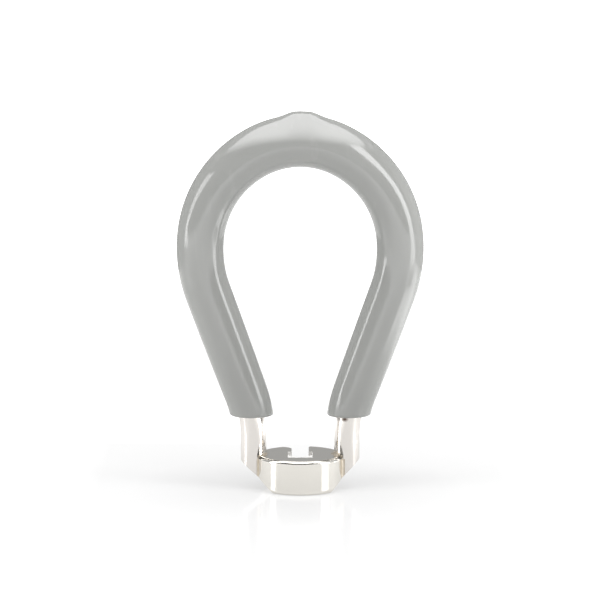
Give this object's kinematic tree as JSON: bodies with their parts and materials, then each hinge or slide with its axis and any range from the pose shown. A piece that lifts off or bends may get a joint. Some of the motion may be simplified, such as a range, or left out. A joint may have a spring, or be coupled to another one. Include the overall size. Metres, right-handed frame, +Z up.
{
  "type": "spoke wrench",
  "caption": "Spoke wrench: a plated bar bent into a finger loop, dipped in thick grey vinyl, with a round slotted nipple jaw brazed between its feet.",
  "frame": {"origin": "middle of the round jaw's flat underside, on the surface that the wrench stands on", "axes": "+Z up the wrench from the jaw to the crown of the loop, +X across the loop to the right leg, +Y to the back, the way the jaw's slot opens"},
  "size_m": [0.051, 0.0174, 0.0785],
  "materials": {
    "bar_plating": "polished nickel plate",
    "jaw_plating": "polished nickel plate on ground steel",
    "braze": "dull, flowed",
    "vinyl": "glossy dipped vinyl"
  },
  "bodies": {
    "root": {"frame_bar": "bar_plating", "jaw_block": "jaw_plating", "left_braze": "braze", "right_braze": "braze", "grip": "vinyl"}
  },
  "joints": []
}
